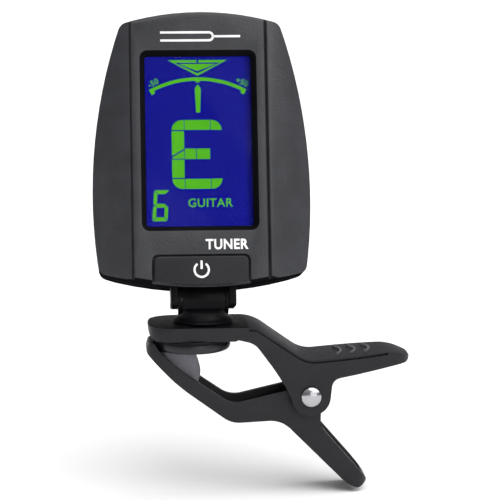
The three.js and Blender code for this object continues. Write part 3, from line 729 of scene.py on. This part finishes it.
def swivel_base():
    """Turntable and dome on the jaw, with the hinge's knuckle on top and a stem below."""
    low = JAW_TOP + 0.3
    profile = [(0, 2.55), (1.9, 2.55), (1.9, 2.85), (1.4, 2.85), (1.4, 3.5), (2, 3.5), (2, low),
               (5.4, low), (5.56, low + 0.08), (5.58, low + 0.24), (5.45, low + 0.38),
               (5.15, low + 0.55), (4.85, low + 0.75), (4.68, low + 1.0), (4.6, 6.6), (4.52, 7.2),
               (4.35, 8.0), (4.1, 9), (3.8, 10), (3.5, 10.9), (3.05, 11.6), (2.4, 12.15),
               (1.4, 12.35), (0, 12.4)]
    body = turned("turntable", profile, "z", (HINGE.x, 0, 0), 128)
    for end in (-1, 1):
        near, far = sorted((HINGE.x + end * KNUCKLE_HALF, HINGE.x + end * 8))
        cut(body, rod("pocket", KNUCKLE_RADIUS + 0.05, 0, HINGE.z, near, far, "x"))
    join(body, rod("barrel", KNUCKLE_RADIUS - 0.01, 0, HINGE.z, HINGE.x - KNUCKLE_HALF,
                   HINGE.x + KNUCKLE_HALF, "x"))
    z = HINGE.z
    over = arc(0, z, KNUCKLE_RADIUS, 0, math.pi, 32)
    sides = rounded([(-3.35, z - 1.6, 1.2), (-4.6, 6.1, 1.0), (-6, 5.6), (-FAR, 0), (FAR, 0),
                     (6, 5.6), (4.6, 6.1, 1.0), (3.35, z - 1.6, 1.2)])
    keep(body, prism("knuckle", over + sides, -FAR, FAR, "x"))
    cut(body, rod("bore", PIN_BORE, 0, z, -FAR, FAR, "x"))
    softened(body, 0.3, 40)
    finished(body, "turntable", BLACK, ["swivel_base"], angle=40)


def hinge_fork():
    """Block under the housing with two ears round the knuckle, and the pin through them."""
    side = rounded([(-2.9, -1.85, 1.5), (2.9, -1.85, 1.5), (2.9, 5), (-0.3, 5), (-0.3, 3.3),
                    (-2.9, 3.3, 0.4)])
    front = rounded([(-EAR_OUTER, -1.85, 0.6), (-EAR_INNER, -1.85), (-EAR_INNER, 4),
                     (EAR_INNER, 4), (EAR_INNER, -1.85), (EAR_OUTER, -1.85, 0.6),
                     (EAR_OUTER, 4), (8, 4), (8, 5), (-8, 5), (-8, 4), (-EAR_OUTER, 4)])
    fork = prism("fork", side, -FAR, FAR, "x")
    keep(fork, prism("fork_front", front, -FAR, FAR))
    cut(fork, rod("pin_bore", PIN_BORE, 0, 0, -FAR, FAR, "x"))
    softened(fork, 0.18)
    finished(fork, "head", BLACK, ["hinge_fork"], in_head=True)
    pin = rod("pin", PIN_RADIUS, 0, 0, -EAR_OUTER, EAR_OUTER, "x", 0.15)
    finished(pin, "head", STEEL, ["hinge_pin"], in_head=True)


# ---- housing -----------------------------------------------------------------------------

def head_outline(inset=0.0):
    """Front view of the housing: bowed sides, a crowned top and a shallow curved bottom."""
    side_radius = 94 - inset
    side_middle = 19
    side_shift = 73.8
    top_radius = 50 - inset
    top_shift = 2.75
    bottom_radius = 67 - inset
    bottom_shift = 68.6

    def side_at(z):
        return math.sqrt(side_radius ** 2 - (z - side_middle) ** 2) - side_shift

    def top_at(x):
        return top_shift + math.sqrt(top_radius ** 2 - x ** 2)

    def bottom_at(x):
        return bottom_shift - math.sqrt(bottom_radius ** 2 - x ** 2)

    # Each pass brings the corners closer to where the arcs cross.
    top_x = 14.0
    bottom_x = 19.0
    for _ in range(12):
        top_x = side_at(top_at(top_x))
        bottom_x = side_at(bottom_at(bottom_x))
    top_z, bottom_z = top_at(top_x), bottom_at(bottom_x)
    right = [(side_at(z), z) for z in spaced(bottom_z, top_z, 14)]
    bottom = [(x, bottom_at(x)) for x in spaced(-bottom_x, bottom_x, 11)]
    top = [(x, top_at(x)) for x in spaced(top_x, -top_x, 11)]
    left = [(-x, z) for x, z in reversed(right)]
    return rounded([(-bottom_x, bottom_z, 1.3), *bottom, (bottom_x, bottom_z, 1.3), *right,
                    (top_x, top_z, 1.6), *top, (-top_x, top_z, 1.6), *left])


def spaced(low, high, count):
    """Values strictly between low and high, evenly spaced."""
    return [low + (high - low) * (i + 1) / (count + 1) for i in range(count)]


def head_section(front_inset=0.0, rear_inset=0.0):
    """Plan view of the housing: a flat front panel and rear, with cheeks sloping to the sides."""
    edge = 20.2
    right = [(PANEL_HALF + 0.4, FRONT + front_inset), (16.9, -5.1 + front_inset, 2.6),
             (edge, -2.6 + front_inset), (edge + 4, -2.5 + front_inset),
             (edge + 4, 2.3 - rear_inset), (edge, 2.4 - rear_inset),
             (17, 4.5 - rear_inset, 2.2), (12, REAR - rear_inset, 3)]
    left = [(-corner[0], *corner[1:]) for corner in reversed(right)]
    return rounded(right + left)


def head_form(name):
    """The housing's outer form, as one solid."""
    thick = prism(name, head_outline(), FRONT, REAR, "y", EDGE, EDGE)
    return keep(thick, prism("section", head_section(), -FAR, 2 * FAR, "z"))


def head_room():
    """The room inside the housing's walls."""
    thick = prism("room", head_outline(RIM), -FAR, FAR)
    section = head_section(FRONT_WALL, REAR_WALL)
    return keep(thick, prism("section", section, -FAR, 2 * FAR, "z"))


def fork_slot():
    """The opening in the housing's floor for the hinge fork."""
    reach = EAR_OUTER + 0.15
    return box("fork_slot", -reach, reach, -3.3, 3.7, -FAR, 4)


def panel_groove(side):
    """The long V groove along one side of the front panel."""
    x = PANEL_X + side * (PANEL_HALF + 0.35)
    vee = [Vector(p) for p in [(x - 0.3, FRONT - 1), (x + 0.3, FRONT - 1), (x + 0.3, FRONT + 0.1),
                               (x, FRONT + 0.6), (x - 0.3, FRONT + 0.1)]]
    return prism("groove", vee, -FAR, 2 * FAR, "z")


def painted_shade_on_shell(x, y, z, up):
    """True on a shell's underside and on the bevel around the screen, the faces that get painted
    shade.
    """
    half = WINDOW_HALF + WINDOW_BEVEL - 0.12
    bevel_in_shade = (abs(x - PANEL_X) < half and WINDOW_LOW - 1 < z < WINDOW_HIGH + 1
                and FRONT + 0.06 < y < FRONT + FRONT_WALL)
    # Painted shade on the recessed bevel and on faces turned down near the bottom.
    return bevel_in_shade or (up < -0.3 and z < 6.5)


def add_screw_posts(shell, radius, low, high):
    """Posts for the four shell screws, trimmed to the housing's form."""
    for x, z in SCREWS:
        post = rod("post", radius, x, z, low, high)
        keep(post, head_form("form"))
        join(shell, post)


def front_shell():
    """Front half of the housing, with the window, the button's pocket and the seam's lip."""
    shell = head_form("front_housing")
    cut(shell, head_room())
    floor = box("pocket_floor", -10.4, 10.4, POCKET_FRONT, POCKET_REAR, 2, 8.4)
    keep(floor, head_form("form"))
    join(shell, floor)
    add_screw_posts(shell, 1.8, FRONT, 0)
    for x, z in SCREWS:
        cut(shell, rod("screw_bore", SCREW_BORE, x, z, BORE_FRONT, FAR))
    for x, z in BOARD_SCREWS:
        join(shell, rod("board_post", 1.5, x, z, FRONT + 1, BOARD_FRONT - 0.15))
        cut(shell, rod("board_bore", BOARD_BORE, x, z, BORE_FRONT, FAR))
    inner = rectangle(PANEL_X - WINDOW_HALF, WINDOW_LOW, PANEL_X + WINDOW_HALF, WINDOW_HIGH, 0.5)
    wide = grown(inner, WINDOW_BEVEL)
    window = stacked("window", [(grown(wide, 0.8), FRONT - 1), (wide, FRONT),
                                (inner, FRONT + FRONT_WALL + 0.1), (inner, -4)], "y")
    reach = BUTTON_HALF + BUTTON_GAP
    space = rectangle(PANEL_X - reach, -5, PANEL_X + reach, BUTTON_HIGH + BUTTON_GAP, 1.3)
    notch = prism("notch", space, FRONT - 1, -5.4)
    cut(shell, window, notch, rod("stem_hole", BUTTON_STEM + 0.3, 0, BUTTON_STEM_Z, -6, -4),
        panel_groove(-1), panel_groove(1), fork_slot(),
        box("behind", -FAR, FAR, -SEAM, FAR, -FAR, 2 * FAR))
    softened(shell, 0.16)
    tongue = prism("tongue", head_outline(0.6), -0.6, SEAM - 0.03)
    cut(tongue, prism("tongue_bore", head_outline(RIM), -FAR, FAR), fork_slot())
    join(shell, tongue)
    finished(shell, "head", CHARCOAL, ["front_shell"], in_head=True)
    # Painted shade: the underside and the bevel round the screen get the glossless black.
    paint_shade_on_faces(shell, PAINTED_SHADE_BLACK, painted_shade_on_shell, in_head=True)


def door_form(name, gap):
    """The dovetail space of the battery door, grown by a gap all round."""
    inner, outer = DOOR_HALF + gap, DOOR_HALF - DOOR_DRAFT + gap
    face = REAR - DOOR_THICK - gap
    section = [Vector(p) for p in [(-inner, face), (inner, face), (outer, REAR + 0.01),
                                   (outer, FAR), (-outer, FAR), (-outer, REAR + 0.01)]]
    return prism(name, section, DOOR_LOW - gap, 2 * FAR, "z")


def rear_shell():
    """Rear half of the housing, with the coin cell's well and the door's dovetail."""
    shell = head_form("rear_housing")
    cut(shell, head_room())
    well = CELL_RADIUS + 0.35
    ring = rod("ring", well + 0.85, 0, CELL_Z, 0, REAR - REAR_WALL + 0.2)
    cut(ring, rod("ring_bore", well, 0, CELL_Z, -1, REAR))
    join(shell, ring)
    add_screw_posts(shell, 1.95, -0.5, REAR)
    cut(shell, box("ahead", -FAR, FAR, -FAR, SEAM, -FAR, 2 * FAR),
        rod("well", well, 0, CELL_Z, 0, REAR), door_form("door_space", 0.2), fork_slot())
    for x, z in SCREWS:
        cut(shell, rod("screw_bore", SCREW_BORE, x, z, -1, REAR),
            rod("counterbore", SCREW_HEAD + 0.25, x, z, SCREW_SEAT - 0.15, 2 * REAR))
    softened(shell, 0.14)
    finished(shell, "head", CHARCOAL, ["rear_shell"], in_head=True)
    # Painted shade: the underside gets the glossless black.
    paint_shade_on_faces(shell, PAINTED_SHADE_BLACK, painted_shade_on_shell, in_head=True)


def battery_door():
    """The sliding door, with ribs across it for the thumb."""
    door = door_form("battery_cover", 0)
    keep(door, head_form("form"))
    for i in range(5):
        z = 22.5 + 1.3 * i
        cut(door, prism("rib_groove", rectangle(-5, z, 5, z + 0.55, 0.25), REAR - 0.3, FAR))
    softened(door, 0.12)
    finished(door, "door", CHARCOAL, ["battery_door"], in_head=True)


def screws():
    """The four shell screws, with domed cross heads."""
    for i, (x, z) in enumerate(SCREWS):
        profile = [(0, 3.72), (0.9, 3.68), (1.3, 3.5), (1.55, 3.2), (SCREW_HEAD, 2.9),
                   (SCREW_HEAD, SCREW_SEAT), (SCREW_SHANK, SCREW_SEAT), (SCREW_SHANK, -3.4),
                   (0, -3.6)]
        screw = turned(f"screw_{i + 1}", profile, "y", (x, 0, z), 48)
        for wide, tall in ((1.0, 0.22), (0.22, 1.0)):
            cut(screw, box("cross", x - wide, x + wide, 3.15, 5, z - tall, z + tall))
        finished(screw, "head", STEEL, [f"shell_screw_{i + 1}"], in_head=True)


def coin_cell():
    """Coin cell with rounded edges, a smaller front cap and a plus sign pressed in the rear."""
    radius = CELL_RADIUS
    front = 0.0
    rear = 3.2
    profile = [(0, front), (radius - 0.95, front), (radius - 0.8, front + 0.15),
               (radius - 0.8, front + 0.3), (radius - 0.15, front + 0.3),
               (radius, front + 0.45), (radius, rear - 0.4), (radius - 0.12, rear - 0.12),
               (radius - 0.4, rear), (0, rear)]
    can = turned("cell", profile, "y", (0, 0, CELL_Z))
    for wide, tall in ((1.6, 0.3), (0.3, 1.6)):
        cut(can, box("plus", -wide, wide, rear - 0.06, rear + 1, CELL_Z - tall, CELL_Z + tall))
    finished(can, "head", CELL_CAN, ["coin_cell"], in_head=True)


def power_button():
    """The button's cap, which follows the housing's lower edge, and the stem behind it."""
    low = grown(head_outline(), -0.25)
    face = rectangle(PANEL_X - BUTTON_HALF, -5, PANEL_X + BUTTON_HALF, BUTTON_HIGH, 1.2)
    cap = prism("power_key", face, BUTTON_FACE, BUTTON_REAR, "y", 0.3, 0)
    keep(cap, prism("button_low", low, -FAR, FAR))
    join(cap, rod("stem", BUTTON_STEM, 0, BUTTON_STEM_Z, BUTTON_REAR - 0.1, -4.15))
    softened(cap, 0.14)
    finished(cap, "button", CLIP_PLASTIC, ["power_button"], in_head=True)


# ---- display and printing ----------------------------------------------------------------

def polygon_piece(parts, name, low, high):
    """One mesh of thin flat parts, each an outline in the head's x and z."""
    bm = bmesh.new()
    for points in parts:
        front = [bm.verts.new((p[0], low, p[1])) for p in points]
        back = [bm.verts.new((p[0], high, p[1])) for p in points]
        bm.faces.new(front)
        bm.faces.new(back)
        for i in range(len(points)):
            j = (i + 1) % len(points)
            bm.faces.new((front[i], front[j], back[j], back[i]))
    return from_bmesh(name, bm)


def band(x, z, radius, thickness, start, end, steps=40):
    """An arc-shaped stripe, angles in degrees from +x."""
    turns = [math.radians(start + (end - start) * k / steps) for k in range(steps + 1)]
    outer = [(x + radius * math.cos(t), z + radius * math.sin(t)) for t in turns]
    inside = radius - thickness
    inner = [(x + inside * math.cos(t), z + inside * math.sin(t)) for t in reversed(turns)]
    return outer + inner


def bar(x0, z0, x1, z1):
    return [(x0, z0), (x1, z0), (x1, z1), (x0, z1)]


def words(text, name, x, z, wide, tall, low, high, turn=0.0, weight=0.0):
    """Flat lettering as a mesh, its middle at x, z, stretched to wide by tall."""
    curve = bpy.data.curves.new(name, "FONT")
    curve.body = text
    curve.align_x = "CENTER"
    curve.offset = weight
    curve.space_character = 1.08
    curve.extrude = 0.5
    curve.resolution_u = 6
    holder = bpy.data.objects.new(name, curve)
    bpy.context.scene.collection.objects.link(holder)
    graph = bpy.context.evaluated_depsgraph_get()
    mesh = bpy.data.meshes.new_from_object(holder.evaluated_get(graph))
    bpy.data.objects.remove(holder)
    lows = Vector([min(v.co[k] for v in mesh.vertices) for k in range(3)])
    highs = Vector([max(v.co[k] for v in mesh.vertices) for k in range(3)])
    span = highs - lows
    mesh.transform(Matrix.Translation(-(lows + highs) / 2))
    mesh.transform(Matrix.Diagonal((wide / span.x, tall / span.y, (high - low) / span.z, 1)))
    mesh.transform(Matrix.Rotation(math.radians(90), 4, "X"))
    mesh.transform(Matrix.Rotation(math.radians(-turn), 4, "Y"))
    mesh.transform(Matrix.Translation((x, (low + high) / 2, z)))
    mesh.transform(Matrix.Scale(MM, 4))
    obj = bpy.data.objects.new(name, mesh)
    bpy.context.scene.collection.objects.link(obj)
    return obj


def note_letter():
    """The big segmented E, as separate segments with thin gaps."""
    left, right = -4.98, 4.28
    low, high = 19.9, 32.75
    thick = 2.4
    bar_height = 1.85
    gap = 0.12
    curl = 1.9
    stem = left + thick
    end = 2.12
    middle = (25.45, 27.4)
    corner_top = [(left, high - bar_height)]
    corner_top += [(left + curl * (1 - math.cos(t)), high - curl * (1 - math.sin(t)))
                   for t in quarter(8)]
    corner_top += [(stem - gap, high), (stem - gap, high - bar_height)]
    tip_top = [(end + gap, high)]
    tip_top += [(right - curl * (1 - math.sin(t)), high - curl * (1 - math.cos(t)))
                for t in quarter(8)]
    tip_top += [(end + gap, high - bar_height)]

    def flipped(points):
        return [(x, low + high - z) for x, z in points]

    split = (left + gap, middle[0] + 0.35), (stem - gap, middle[1])
    return [
        corner_top, flipped(corner_top), tip_top, flipped(tip_top),
        bar(stem, high - bar_height, end, high), bar(stem, low, end, low + bar_height),
        [(left, middle[0] + 0.6), split[1], (stem - gap, high - bar_height - 2 * gap),
         (left, high - bar_height - 2 * gap)],
        [(left, middle[0] + 0.1), (stem - gap, middle[0] + 0.1), (stem - gap, middle[1] - 0.3),
         (left + 0.2, middle[0] + 0.4)],
        bar(left, low + bar_height + 2 * gap, stem - gap, middle[0] - 0.1),
        bar(stem, middle[0], -0.55, middle[1]), bar(-0.4, middle[0], end - 0.05, middle[1]),
    ]


def string_number():
    """The small slanted seven-segment 6."""
    x0, z0 = -8.8, 13.95
    wide, tall = 2.8, 5.75
    thick = 0.72
    slant = 0.075
    half = tall / 2
    gap = 0.07
    shapes = [
        [(0.12, tall), (wide, tall), (wide - thick, tall - thick), (thick, tall - thick)],
        [(0, tall - 0.12), (thick - gap, tall - thick - gap), (thick - gap, half + thick / 2),
         (thick / 2 - gap, half + gap), (0, half + thick / 2)],
        [(thick / 2, half), (thick, half + thick / 2), (wide - thick, half + thick / 2),
         (wide - thick / 2, half), (wide - thick, half - thick / 2), (thick, half - thick / 2)],
        [(0, half - thick / 2), (thick / 2 - gap, half - gap), (thick - gap, half - thick / 2),
         (thick - gap, thick + gap), (0, 0.12)],
        [(0.12, 0), (thick, thick), (wide - thick, thick), (wide - 0.12, 0)],
        [(wide, 0.12), (wide - thick + gap, thick + gap), (wide - thick + gap, half - thick / 2),
         (wide - thick / 2 + gap, half - gap), (wide, half - thick / 2)],
    ]
    return [[(x0 + x + slant * z, z0 + z) for x, z in shape] for shape in shapes]


def scale_and_needle():
    """The cents scale, the in-tune triangle above it and the needle below."""
    top, tip = 44.0, 41.05
    rows = []
    for side in (-1, 1):
        rows.append([(side * 5.5, top), (side * 0.18, top), (side * 0.18, top - 0.45),
                     (side * 4.3, top - 0.45), (0, tip + 0.45), (0, tip)])
    rows.append([(-3.4, top - 0.72), (3.4, top - 0.72), (0, tip + 0.88)])
    radius, thick = 18.8, 0.62
    centre = 40.75 - radius
    reach = 27.6
    rows.append(band(0, centre, radius, thick, 90 - reach, 90 + reach))
    for angle, long in ((90 - reach, 1.1), (90 + reach, 1.1), (90, 0.95)):
        rows.append(band(0, centre, radius, long, angle - 1.2, angle + 1.2, 4))
    rows.append([(0, 39.45), (0.58, 38.6), (0.55, 38.2), (0.38, 34.25), (0.28, 34.15),
                 (-0.28, 34.15), (-0.38, 34.25), (-0.55, 38.2), (-0.58, 38.6)])
    return rows


def window_lens():
    """Clear lens just behind the housing's window."""
    outline = rectangle(-10.8, 9.9, 10.8, 45.7, 0.6)
    lens = prism("lens", outline, LENS_FRONT, LENS_REAR, "y", 0.05, 0.05, 2)
    finished(lens, "head", ACRYLIC, ["window_lens"], in_head=True)


def display():
    """The screen's blue panel, and the green shapes and words just in front of it."""
    panel = prism("screen", rectangle(-10.7, 10, 10.7, 45.6, 0.2), SCREEN_FRONT, SCREEN_REAR)
    finished(panel, "head", SCREEN_BLUE, ["lcd_glass"], in_head=True)
    near = SCREEN_FRONT - 0.1
    far = SCREEN_FRONT - 0.02
    shapes = scale_and_needle() + note_letter() + string_number()
    shapes = [[(x + PANEL_X, z) for x, z in shape] for shape in shapes]
    segments = polygon_piece(shapes, "screen_segments", near, far)
    finished(segments, "head", SCREEN_GREEN, in_head=True)
    labels = [
        ("GUITAR", "screen_word", 1.5, 17.3, 8.2, 1.6, 0, 0.012),
        ("-50", "screen_minus", -8.75, 39.75, 2.0, 1.1, 26, 0.015),
        ("+50", "screen_plus", 7.75, 39.85, 2.35, 1.1, -24, 0.015),
    ]
    for text, name, x, z, wide, tall, turn, weight in labels:
        label = words(text, name, x, z, wide, tall, near, far, turn, weight)
        finished(label, "head", SCREEN_GREEN, in_head=True)


def printing():
    """Plain marks: a tuning-fork sign above the screen, one generic word and the power sign."""
    low, high = FRONT - 0.02, FRONT + 0.03
    word = words("TUNER", "panel_word", 4.25, 9.3, 7.85, 1.93, low, high, 0, 0.03)
    finished(word, "head", WHITE_PRINT, in_head=True)
    z, thick = 48.0, 0.42
    prong = 0.75
    sign = [bar(-7.4, z + prong - thick / 2, 1.6, z + prong + thick / 2),
            bar(-7.4, z - prong - thick / 2, 1.6, z - prong + thick / 2),
            band(1.6, z, prong + thick / 2, thick, -90, 90, 20),
            bar(1.6 + prong, z - thick / 2, 7.4, z + thick / 2)]
    mark = polygon_piece(sign, "panel_sign", low, high)
    finished(mark, "head", WHITE_PRINT, in_head=True)
    centre = 4.6
    face = BUTTON_FACE - 0.02
    power = [band(PANEL_X, centre, 1.5, 0.38, 125, 415, 48),
             bar(PANEL_X - 0.2, 4.75, PANEL_X + 0.2, 6.3)]
    sign = polygon_piece(power, "power_sign", face, face + 0.05)
    finished(sign, "button", WHITE_PRINT, in_head=True)


# ---- stage -------------------------------------------------------------------------------

def camera():
    """A long lens a little to the left of the clip and above it."""
    target = Vector((10.66, 0, 18.3)) * MM
    distance = 0.410
    view_width = 0.0925926
    azimuth, elevation = math.radians(-4.2), math.radians(9.6)
    back = Vector((math.sin(azimuth) * math.cos(elevation),
                   -math.cos(azimuth) * math.cos(elevation), math.sin(elevation)))
    data = bpy.data.cameras.new("camera")
    data.sensor_width = 36
    data.lens = data.sensor_width * distance / view_width
    data.clip_start = 0.01
    data.clip_end = 50
    obj = bpy.data.objects.new("camera", data)
    bpy.context.scene.collection.objects.link(obj)
    obj.location = target + back * distance
    obj.rotation_euler = back.to_track_quat("Z", "Y").to_euler()
    bpy.context.scene.camera = obj


def soft_sun(name, towards, strength, softness):
    """A distant soft light shining from a direction."""
    data = bpy.data.lights.new(name, "SUN")
    data.energy = strength
    data.angle = math.radians(softness)
    obj = bpy.data.objects.new(name, data)
    bpy.context.scene.collection.objects.link(obj)
    obj.rotation_euler = Vector(towards).to_track_quat("Z", "Y").to_euler()


def studio():
    """A pale floor, a soft key, a faint fill, and a sky that is palest at the horizon."""
    top = cad_box[0][2] / MM - 0.8
    half = 4000
    floor = prism("floor", rectangle(-half, -half, half, half), top - 2, top, "z")
    material, tree, shader = new_material("pale_floor", Roughness=0.95)
    pale = ramp(tree, noise(tree, 3, 2), 0.3, 0.7, (0.9, 0.9, 0.9, 1), (0.93, 0.93, 0.93, 1))
    tree.links.new(pale, shader.inputs["Base Color"])
    floor.data.materials.append(material)
    world = bpy.data.worlds.new("studio")
    bpy.context.scene.world = world
    world.use_nodes = True
    tree = world.node_tree
    place = tree.nodes.new("ShaderNodeTexCoord")
    axes = tree.nodes.new("ShaderNodeSeparateXYZ")
    tree.links.new(place.outputs["Generated"], axes.inputs["Vector"])
    glow = ramp(tree, axes.outputs["Z"], 0.0, 0.9, (1, 1, 1, 1), (0.6, 0.6, 0.6, 1))
    low_glow = tree.nodes["Color Ramp"].color_ramp.elements.new(0.08)
    low_glow.color = (0.14, 0.14, 0.15, 1)
    tree.links.new(glow, tree.nodes["Background"].inputs["Color"])
    soft_sun("key", (0.44, -0.32, 0.95), 3.3, 80)
    soft_sun("fill", (0.3, -0.95, 0.2), 0.5, 40)
    bpy.context.scene.view_settings.view_transform = "Standard"


# ---- build -------------------------------------------------------------------------------

upper_jaw()
grip_ridges()
pad_plate()
upper_pad()
lower_pad()
lower_jaw()
pivot_rivet()
torsion_spring()
swivel_base()
hinge_fork()
front_shell()
rear_shell()
battery_door()
screws()
coin_cell()
power_button()
window_lens()
display()
printing()

SLOT_OF = {part["node"]: part["material_slot"] for part in frame["record"]["subparts"]}
for node_name, node in frame["nodes"].items():
    node.data.materials.clear()
    node.data.materials.append(SLOT_LOOKS[SLOT_OF[node_name]])

camera()
studio()
